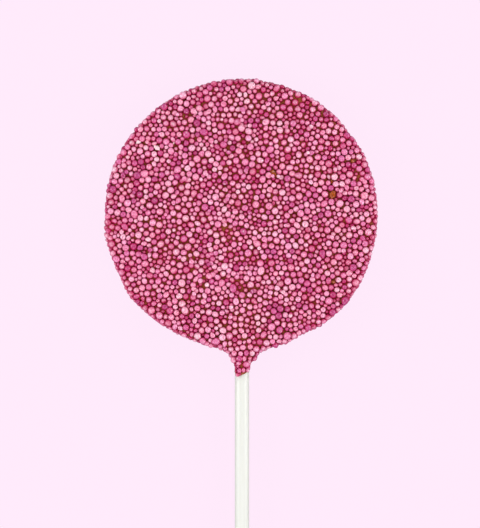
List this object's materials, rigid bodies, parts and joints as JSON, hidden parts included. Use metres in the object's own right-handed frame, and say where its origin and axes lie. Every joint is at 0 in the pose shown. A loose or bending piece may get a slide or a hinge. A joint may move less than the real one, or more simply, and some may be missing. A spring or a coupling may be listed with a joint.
{
  "type": "chocolate lollipop",
  "caption": "Round slab of milk chocolate coated all over in pink nonpareils, on a straight white stick, lying on its back.",
  "frame": {"origin": "middle of the slab's flat back, which it lies on", "axes": "+Z out of the decorated front, -Y along the stick from the slab to its free end, +X to the right as the front is seen with the stick down"},
  "size_m": [0.0773, 0.1885, 0.0083],
  "materials": {
    "coated_chocolate": "milk chocolate under matte pink sugar nonpareils, with dark chocolate-brown gaps between them",
    "white_plastic": "satin white moulded stick"
  },
  "bodies": {
    "root": {"chocolate": "coated_chocolate", "stick": "white_plastic"}
  },
  "joints": []
}
